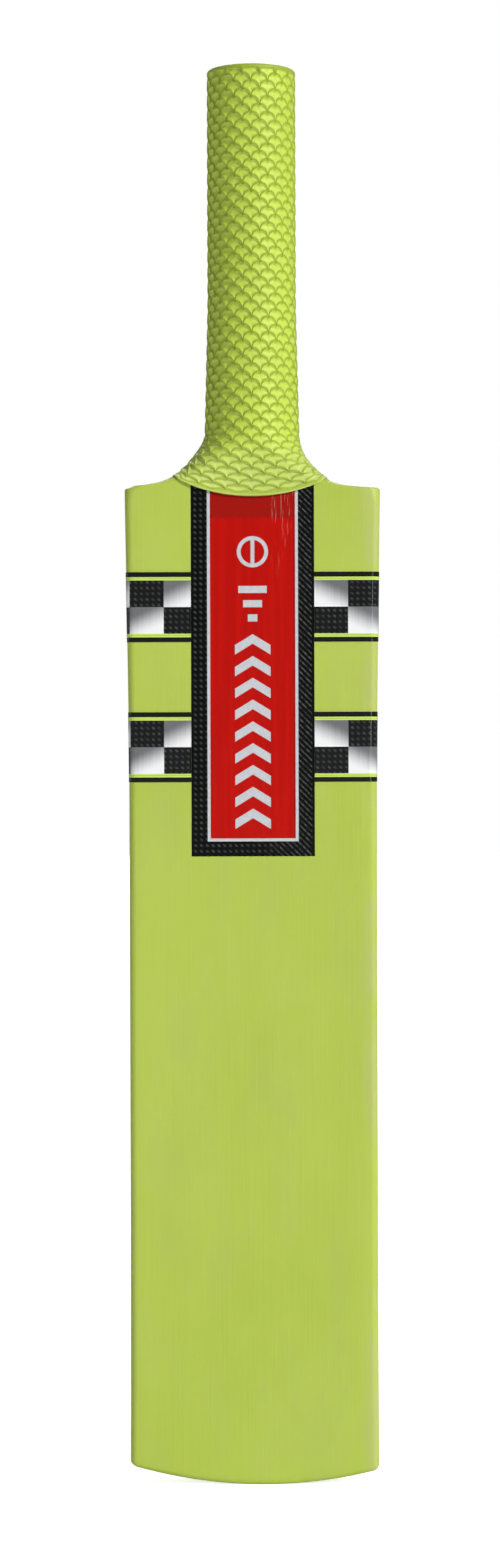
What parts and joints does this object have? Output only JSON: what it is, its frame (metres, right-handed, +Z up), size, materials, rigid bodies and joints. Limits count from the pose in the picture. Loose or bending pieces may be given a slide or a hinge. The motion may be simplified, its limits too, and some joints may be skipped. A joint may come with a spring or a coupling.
{
  "type": "short cricket bat",
  "caption": "Short one-handed cricket bat: a flat-faced painted wooden blade with a spine, a spliced cane handle and a scaled rubber grip.",
  "frame": {"origin": "on the handle's axis, level with the lowest point of the toe", "axes": "+Z up the bat from the toe to the grip's end, -Y out of the hitting face, +X to the right as the face is looked at"},
  "size_m": [0.108, 0.0404, 0.6],
  "materials": {
    "painted_blade": "lime satin paint over wood with a fine upright grain",
    "grip_rubber": "satin lime rubber with raised scales",
    "twine": "waxed thread",
    "cane": "bare split cane",
    "spring_rubber": "matte black rubber strip",
    "black_film": "printed black woven pattern under gloss film",
    "red_film": "gloss red film",
    "silver_film": "satin silver print",
    "checker_film": "black and silver checks with lime lines under gloss film"
  },
  "bodies": {
    "root": {"blade": "painted_blade", "grip": "grip_rubber", "twine_binding": "twine", "cane_left_outer": "cane", "cane_left_inner": "cane", "cane_right_inner": "cane", "cane_right_outer": "cane", "handle_spring_left": "spring_rubber", "handle_spring_centre": "spring_rubber", "handle_spring_right": "spring_rubber", "face_label": "black_film", "centre_panel": "red_film", "panel_border": "silver_film", "emblem": "silver_film", "wing_band_upper_left": "checker_film", "wing_band_upper_right": "checker_film", "wing_band_lower_left": "checker_film", "wing_band_lower_right": "checker_film"}
  },
  "joints": []
}
